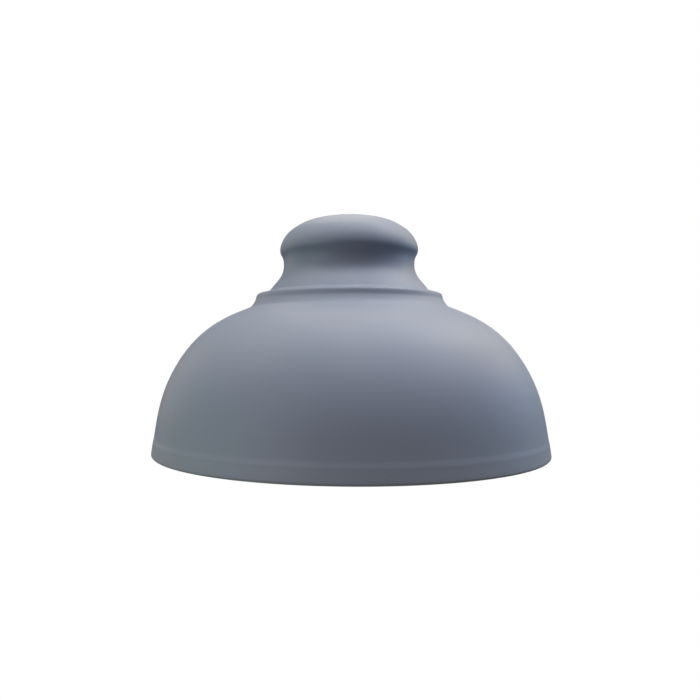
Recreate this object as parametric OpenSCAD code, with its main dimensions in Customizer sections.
// Metal pendant lampshade with a bayonet lampholder recessed in its neck.
// Millimetres. Z is the axis of the shade, z = 0 is the plane the rim stands on,
// and the two sprung contacts of the lampholder lie along X.

/* [Dome] */
// Diameter over the rim
rim_diameter = 290; // [286:1:296]
// Height of the seat where the neck stands on the dome
seat_height = 119.1; // [118:0.1:121]
// Thickness of the spun sheet
sheet = 0.8; // [0.6:0.1:1.1]
// Outer radius of the rolled rim
curl_radius = 1.6; // [1.4:0.1:2]
// Height up to which the rim band stands proud
bead_height = 14; // [13:0.5:15]
// Diameter of the upright step under the seat
step_diameter = 139.8; // [138:0.2:141]
// Inner diameter of the two flanges at the seat
flange_bore = 84; // [82:0.5:85]

/* [Neck] */
// Height of the neck and bulb above the seat
neck_height = 54.7; // [54:0.1:57]
// Diameter at the waist of the neck
waist_diameter = 98; // [97:0.2:99]
// Diameter of the bulb
bulb_diameter = 103.6; // [102:0.2:106]
// Diameter of the opening in the top
top_opening = 40; // [38.5:0.5:44]

/* [Bracket] */
// Thickness of the bracket strip
strip = 1.5; // [1.2:0.1:2]
// Width of each arm
arm_width = 12; // [10:0.5:14]
// Diameter of the circle the three screws stand on
screw_circle = 95; // [94:0.5:96]
// Hole in the ring plate
plate_hole = 42; // [41.5:0.1:42.5]

/* [Lampholder] */
// Diameter of the barrel that passes through the reducer
barrel_diameter = 28; // [27.8:0.1:28.2]
// Bore that takes the lamp cap
socket_bore = 22.9; // [22.7:0.1:23]
// Distance between the two contacts
contact_pitch = 9.6; // [9.4:0.1:10]
// Diameter of the contact tips
contact_diameter = 5; // [4.6:0.1:5.1]
// Coils in each contact spring
coils = 6; // [4:1:7]
// Bore of the cord grip
cord_bore = 7.2; // [6.4:0.2:7.6]

/* [Hidden] */
$fn = 96;
steel_blue = [0.50, 0.53, 0.58];
zinc = [0.70, 0.71, 0.72];
white = [0.93, 0.93, 0.91];
cream = [0.86, 0.82, 0.72];
brass = [0.78, 0.62, 0.30];

// Shells
rim_r = rim_diameter / 2;
step_r = step_diameter / 2;
flange_r = flange_bore / 2;
waist_r = waist_diameter / 2;
bulb_r = bulb_diameter / 2;
opening_r = top_opening / 2;
seat_r = 59.9; // where both shells turn in to their flanges
seat_z = seat_height;
top_z = seat_z + neck_height;
curl_sweep = 220;
curl_step = 20;
curl_z = curl_radius * cos(curl_step / 2); // puts the lowest facet on z = 0

// Bracket and its fixings
arm_angles = [90, 210, 330];
screw_r = screw_circle / 2;
screw_hole_r = 2.15;
plate_r = plate_hole / 2;
plate_z = seat_z + 11.8;
plate_top = plate_z + strip;
head_z = seat_z - sheet - strip; // underside of the arms, where the screw heads bear
washer_z = seat_z + sheet;
nut_z = washer_z + 0.8;
nut_height = 3.2;

// Lampholder
fit_gap = 0.1; // radial or overall play between fitted parts
reducer_z = plate_z - 2.5;
barrel_r = barrel_diameter / 2;
barrel_bottom = plate_top - 30;
barrel_top = plate_top + 11;
collar_z = plate_top; // the shoulder of the barrel rests on the plate
upper_r = 15.6; // outside of the barrel above its shoulder
chamber_r = 13; // inside of the barrel above its ledge
lower_r = 12.3; // inside of the barrel below its ledge
ledge_z = plate_top - 11;
cap_top = plate_top + 27;
stem_length = 4.5; // part of the cord grip inside the cap
grip_screw_z = cap_top + 6;

// Contacts
stop_z = ledge_z + 2; // step in the block that stops each plunger
spring_bottom = ledge_z + 3.2;
spring_top = ledge_z + 12.5;
spring_bore_r = 3.25;
post_side = 7.2;
post_height = 6.5;

// Cubic curve in the radius-height plane, without its start point.
function bezier(start, pull_1, pull_2, end, t) =
    pow(1 - t, 3) * start + 3 * pow(1 - t, 2) * t * pull_1
    + 3 * (1 - t) * t * t * pull_2 + pow(t, 3) * end;
function curve(start, pull_1, pull_2, end, steps) =
    [for (i = [1:steps]) bezier(start, pull_1, pull_2, end, i / steps)];
// Curves end to end; each row is [first pull, second pull, end, steps].
function chain(start, rows) = [
    for (i = [0:len(rows) - 1])
        let (row = rows[i], from = i == 0 ? start : rows[i - 1][2])
        each curve(from, row[0], row[1], row[2], row[3])
];
function arc(centre, radius, from, to, steps, first = 0) = [
    for (i = [first:steps])
        let (angle = from + (to - from) * i / steps)
        centre + radius * [cos(angle), sin(angle)]
];

// The path moved to its left by a thickness, and the closed band between the two.
function unit(vector) = vector / norm(vector);
function heading(path, i) = unit(path[i + 1] - path[i]);
function is_end(path, i) = i == 0 || i == len(path) - 1;
function along(path, i) =
    i == 0 ? heading(path, 0)
    : is_end(path, i) ? heading(path, i - 1)
    : unit(heading(path, i - 1) + heading(path, i));
// Keeps the thickness even round a corner, up to a limit on sharp ones.
function mitre(path, i) =
    is_end(path, i) ? 1
    : 1 / max(0.38, norm(heading(path, i - 1) + heading(path, i)) / 2);
function inset(path, thickness) = [
    for (i = [0:len(path) - 1])
        let (ahead = along(path, i))
        path[i] + thickness * mitre(path, i) * [-ahead[1], ahead[0]]
];
function flip(path) = [for (i = [len(path) - 1:-1:0]) path[i]];
function band(path, thickness) = concat(path, flip(inset(path, thickness)));

// Outer face of the dome, from the end of the rolled rim up to the inner edge of its flange.
function dome_path() = concat(
    arc([rim_r - curl_radius, curl_z], curl_radius, -curl_sweep, 0, curl_sweep / curl_step),
    chain([rim_r, curl_z], [
        // rim band
        [[rim_r - 0.05, curl_z + 1.2], [rim_r - 0.75, bead_height - 6.9],
            [rim_r - 1.06, bead_height - 4.5], 4],
        [[rim_r - 1.28, bead_height - 3], [rim_r - 1.75, bead_height - 1.6],
            [rim_r - 2, bead_height], 5],
        // bowl
        [[rim_r - 4.5, bead_height + 16.21], [rim_r - 6.52, seat_z - 69.75],
            [rim_r - 22.56, seat_z - 46.67], 9],
        [[rim_r - 38.36, seat_z - 23.92], [86.44, seat_z - 17.46], [75, seat_z - 12.6], 9],
        // step
        [[73.6, seat_z - 11.95], [step_r + 2.7, seat_z - 10.8],
            [step_r + 1.7, seat_z - 9.2], 3],
        [[step_r + 1, seat_z - 8.1], [step_r + 0.25, seat_z - 6.9],
            [step_r, seat_z - 5.5], 3],
        [[step_r - 1.1, seat_z - 1.2], [step_r - 0.8, seat_z - 2.85], [seat_r, seat_z], 7]
    ]),
    [[flange_r, seat_z]]
);

// Outer face of the neck, from the inner edge of its flange up over the bulb
// and into the opening.
lip_r = 1.5;
function neck_path() = concat(
    [[flange_r, seat_z], [seat_r, seat_z]],
    chain([seat_r, seat_z], [
        // waist
        [[seat_r - 5.1, seat_z + 7.4], [waist_r, seat_z + 10.62], [waist_r, top_z - 34.76], 9],
        // bulb
        [[waist_r, top_z - 27.5], [bulb_r, top_z - 27.8], [bulb_r, top_z - 23.6], 7],
        [[bulb_r, top_z - 20], [bulb_r - 2.5, top_z - 13.9], [44.22, top_z - 9.55], 7],
        [[34, top_z - 1.7], [opening_r + 7.7, top_z - 1.5],
            [opening_r + 1.86, top_z - 0.045], 7]
    ]),
    arc([opening_r + lip_r, top_z - lip_r], lip_r, 76, 180, 5, 1),
    [[opening_r, top_z - 4.5]]
);

module up(z) { translate([0, 0, z]) children(); }
module turned(profile) { rotate_extrude() polygon(profile); }
module tube(outer_r, inner_r, bottom, top) {
    difference() {
        up(bottom) cylinder(r = outer_r, h = top - bottom);
        up(bottom - 1) cylinder(r = inner_r, h = top - bottom + 2);
    }
}
module at_screws() {
    for (angle = arm_angles) rotate([0, 0, angle]) translate([screw_r, 0, 0]) children();
}
module screw_holes(z, height) { at_screws() up(z) cylinder(r = screw_hole_r, h = height); }
// Side is -1 for left (minus X) and 1 for right.
module at_contact(side) { translate([side * contact_pitch / 2, 0, 0]) children(); }
module driver_slot(z) { translate([-3, -0.35, z]) cube([6, 0.7, 1]); }

module dome_shell() {
    color(steel_blue) difference() {
        turned(band(dome_path(), sheet));
        screw_holes(seat_z - sheet - 3, 6);
    }
}

module neck_shell() {
    color(steel_blue) difference() {
        turned(band(neck_path(), sheet));
        screw_holes(seat_z - 1, 3);
    }
}

// One bent arm along X, with a round end at its screw.
module arm_strip() {
    bend = strip * 0.6; // shift of the upper face at each bend
    foot_x = sqrt(flange_r * flange_r - arm_width * arm_width / 4) - 0.4 - bend;
    shoulder_x = 30.5;
    end_x = 26;
    rotate([90, 0, 0]) linear_extrude(height = arm_width, center = true) polygon([
        [screw_r, head_z], [foot_x, head_z], [shoulder_x, plate_z], [end_x, plate_z],
        [end_x, plate_top], [shoulder_x + bend, plate_top],
        [foot_x + bend, head_z + strip], [screw_r, head_z + strip]
    ]);
    translate([screw_r, 0, head_z]) cylinder(d = arm_width, h = strip);
}

// Three bent arms under the dome flange, rising to a ring plate inside the neck.
module spider_bracket() {
    ring_width = 10;
    color(zinc) difference() {
        union() {
            for (angle = arm_angles) rotate([0, 0, angle]) arm_strip();
            up(plate_z) cylinder(r = plate_r + ring_width, h = strip);
        }
        up(plate_z - 5) cylinder(d = plate_hole, h = strip + 10);
        screw_holes(head_z - 1, strip + 2);
    }
}

// Pan head, cross recess, plain shank in place of the thread.
module flange_screws() {
    shank_top = nut_z + 4;
    head_r = 4;
    recess_length = 4.2;
    recess_width = 0.9;
    color(zinc) at_screws() difference() {
        union() {
            up(head_z) cylinder(r = 2, h = shank_top - head_z);
            up(head_z) mirror([0, 0, 1]) turned(concat(
                [[0, 0], [head_r, 0]],
                curve([head_r, 0], [head_r, 1.6], [3.4, 2.5], [0, 2.7], 6)
            ));
        }
        for (angle = [0, 90]) rotate([0, 0, angle])
            translate([-recess_length / 2, -recess_width / 2, head_z - 3])
                cube([recess_length, recess_width, 1.7]);
    }
}

module flange_washers() {
    color(zinc) at_screws() tube(4.5, screw_hole_r, washer_z, nut_z);
}

// Hexagon nuts with the upper corners turned off.
module flange_nuts() {
    color(zinc) at_screws() difference() {
        intersection() {
            up(nut_z) rotate([0, 0, 30]) cylinder(r = 4.04, h = nut_height, $fn = 6);
            up(nut_z) turned([
                [0, 0], [4.1, 0], [4.1, nut_height - 0.45], [3.6, nut_height], [0, nut_height]
            ]);
        }
        up(nut_z - 1) cylinder(r = 2.05, h = 6);
    }
}

// Plastic step that fills the plate hole down to the barrel.
module reducer_ring() {
    inner_r = barrel_r + 0.5;
    plug_r = plate_r - 0.15;
    lip_outer_r = plate_r + 3;
    chamfer = 0.6;
    color(white) turned([
        [inner_r, reducer_z], [lip_outer_r - chamfer, reducer_z],
        [lip_outer_r, reducer_z + chamfer], [lip_outer_r, plate_z],
        [plug_r, plate_z], [plug_r, plate_top], [inner_r, plate_top]
    ]);
}

// Ring screwed up the barrel from below, with ribs round it and a wider top.
module shade_ring() {
    bottom = reducer_z - 10;
    body_r = 18.5;
    flare_r = 22;
    ribs = 20;
    color(white) difference() {
        union() {
            turned([
                [0, bottom], [body_r - 0.8, bottom], [body_r, bottom + 0.8],
                [body_r, reducer_z - 3.2], [20.2, reducer_z - 2.6],
                [flare_r, reducer_z - 2.2], [flare_r, reducer_z - 0.5],
                [flare_r - 0.5, reducer_z], [0, reducer_z]
            ]);
            for (i = [0:ribs - 1]) rotate([0, 0, i * 360 / ribs])
                translate([18.3, 0, bottom + 0.9]) cylinder(r = 0.9, h = 6.2, $fn = 24);
        }
        up(bottom - 1) cylinder(r = barrel_r + 0.08, h = 14);
    }
}

// Slot up from the barrel's lower edge, round, and back down a little.
module j_slot() {
    start = 11;
    depth = 4;
    width = 2.8;
    turn = 24;
    top = barrel_bottom + 8.6;
    hook = 4;
    translate([start, -width / 2, barrel_bottom - 1])
        cube([depth, width, top - barrel_bottom + 1]);
    up(top - width) rotate_extrude(angle = turn) translate([start, 0]) square([depth, width]);
    rotate([0, 0, turn]) translate([start, -width / 2, top - hook]) cube([depth, width, hook]);
}

// Barrel with an outside shoulder, an inside ledge for the block,
// and two J slots for the lamp pins.
module holder_barrel() {
    socket_r = socket_bore / 2;
    collar_r = 18;
    collar_top = collar_z + 3;
    socket_top = barrel_bottom + 13.5;
    color(white) difference() {
        turned([
            [socket_r + 0.5, barrel_bottom], [barrel_r - 0.6, barrel_bottom],
            [barrel_r, barrel_bottom + 0.6], [barrel_r, collar_z],
            [collar_r, collar_z], [collar_r, collar_top], [upper_r, collar_top],
            [upper_r, barrel_top], [chamber_r, barrel_top], [chamber_r, ledge_z],
            [lower_r, ledge_z], [lower_r, socket_top],
            [socket_r, socket_top], [socket_r, barrel_bottom + 0.5]
        ]);
        for (angle = [90, 270]) rotate([0, 0, angle]) j_slot();
    }
}

// Domed cap screwed over the barrel; an inside step holds the block down.
module holder_cap() {
    bottom = collar_z + 3.2;
    step_z = barrel_top + 0.15;
    inner_r = upper_r + fit_gap;
    outer_r = 17.9;
    stem_hole_r = 5.05;
    hole_bottom = cap_top - stem_length;
    step_inner_r = 11;
    flutes = 18;
    color(white) difference() {
        turned(concat(
            [[inner_r, bottom], [outer_r - 0.4, bottom], [outer_r, bottom + 0.4],
                [outer_r, bottom + 12]],
            curve([outer_r, bottom + 12], [outer_r, cap_top - 6], [13.5, cap_top - 1.4],
                [9.6, cap_top - 0.6], 8),
            [[9.2, cap_top], [stem_hole_r, cap_top], [stem_hole_r, hole_bottom]],
            curve([stem_hole_r, hole_bottom], [10, cap_top - 5], [step_inner_r, cap_top - 8],
                [step_inner_r, step_z + 4], 6),
            [[step_inner_r, step_z], [inner_r, step_z]]
        ));
        for (i = [0:flutes - 1]) rotate([0, 0, i * 360 / flutes])
            translate([18.6, 0, bottom + 2]) cylinder(r = 1.1, h = 9, $fn = 24);
    }
}

// Bush screwed into the cap: a threaded stem drawn plain, six wrench flats,
// and a round head with a side screw.
module cord_grip() {
    head_r = 7.5;
    head_height = 7.2;
    chamfer = 0.8;
    color(white) difference() {
        union() {
            up(cap_top - stem_length) cylinder(r = 5, h = 5);
            up(cap_top) cylinder(r = 8.6, h = 2.5, $fn = 6);
            up(cap_top + 2.4) turned([
                [0, 0], [head_r, 0], [head_r, head_height - chamfer],
                [head_r - chamfer, head_height], [0, head_height]
            ]);
        }
        up(cap_top - 6) cylinder(d = cord_bore, h = 20);
        up(grip_screw_z) rotate([0, 90, 0]) cylinder(r = 1.8, h = 12);
    }
}

// Slotted screw that enters the grip from +X.
module grip_screw() {
    color(brass) up(grip_screw_z) rotate([0, 90, 0]) difference() {
        union() {
            up(4.1) cylinder(r = 1.7, h = 5.3);
            up(9.3) cylinder(r = 2.5, h = 1.6);
        }
        driver_slot(10.2);
    }
}

// Insulating block: base disc, cross bar with two stepped bores and two pockets,
// and two legs under the cap.
module terminal_block() {
    base_r = chamber_r - fit_gap;
    bar_width = 11.2;
    leg_width = 9;
    pocket_side = post_side + fit_gap;
    color(cream) difference() {
        union() {
            up(ledge_z) cylinder(r = base_r, h = 3);
            intersection() {
                up(ledge_z + 2.9) cylinder(r = 12.3, h = 13.1);
                translate([-13, -bar_width / 2, ledge_z]) cube([26, bar_width, 20]);
            }
            intersection() {
                tube(base_r, 11.3, ledge_z + 2.9, barrel_top + 0.1);
                translate([-leg_width / 2, -14, ledge_z]) cube([leg_width, 28, 30]);
            }
        }
        for (side = [-1, 1]) at_contact(side) {
            up(ledge_z - 1) cylinder(d = contact_diameter + fit_gap, h = 4);
            up(stop_z) cylinder(r = spring_bore_r, h = 12);
            translate([-pocket_side / 2, -pocket_side / 2, spring_top])
                cube([pocket_side, pocket_side, 5]);
        }
    }
}

// Contact pin: rounded tip, collar that stops in the bore, and a stem inside the spring.
module plunger() {
    tip_r = contact_diameter / 2;
    tip_z = ledge_z - 4.5;
    collar_r = spring_bore_r - fit_gap;
    stem_r = 1.2;
    stem_top = spring_bottom + 3.5;
    turned(concat(
        [[0, tip_z]],
        curve([0, tip_z], [1.4, tip_z], [tip_r, tip_z + 0.6], [tip_r, tip_z + 1.8], 5),
        [[tip_r, stop_z], [collar_r, stop_z], [collar_r, spring_bottom],
            [stem_r, spring_bottom], [stem_r, stem_top - 0.4],
            [stem_r - 0.4, stem_top], [0, stem_top]]
    ));
}
module plunger_left() { color(brass) at_contact(-1) plunger(); }
module plunger_right() { color(brass) at_contact(1) plunger(); }

// Spring drawn as level coils joined by short links on alternate sides.
module coil_spring() {
    wire_r = 0.3;
    coil_r = 2.2;
    rise = (spring_top - spring_bottom - 2 * wire_r) / (coils - 1);
    for (i = [0:coils - 1]) up(spring_bottom + wire_r + i * rise) {
        rotate_extrude() translate([coil_r, 0]) circle(r = wire_r, $fn = 24);
        if (i < coils - 1)
            translate([i % 2 == 0 ? coil_r : -coil_r, 0, 0])
                cylinder(r = wire_r * 0.8, h = rise, $fn = 24);
    }
}
module spring_left() { color(zinc) at_contact(-1) coil_spring(); }
module spring_right() { color(zinc) at_contact(1) coil_spring(); }

// Square post that also backs the spring, with a wire hole along X and a screw hole from above.
module terminal() {
    difference() {
        translate([-post_side / 2, -post_side / 2, spring_top])
            cube([post_side, post_side, post_height]);
        up(spring_top + 4.4) rotate([0, 90, 0]) cylinder(r = 1.2, h = 10, center = true);
        up(spring_top + 3) cylinder(r = 1.5, h = 5);
    }
}
module terminal_left() { color(brass) at_contact(-1) terminal(); }
module terminal_right() { color(brass) at_contact(1) terminal(); }

module terminal_screws() {
    post_top = spring_top + post_height;
    color(zinc) for (side = [-1, 1]) at_contact(side) difference() {
        union() {
            up(post_top - 3) cylinder(r = 1.45, h = 3.1);
            up(post_top) cylinder(r = 2.6, h = 1.7);
        }
        rotate([0, 0, 35 * side]) driver_slot(post_top + 0.9);
    }
}

dome_shell();
neck_shell();
spider_bracket();
flange_screws();
flange_washers();
flange_nuts();
reducer_ring();
shade_ring();
holder_barrel();
holder_cap();
cord_grip();
grip_screw();
terminal_block();
plunger_left();
plunger_right();
spring_left();
spring_right();
terminal_left();
terminal_right();
terminal_screws();
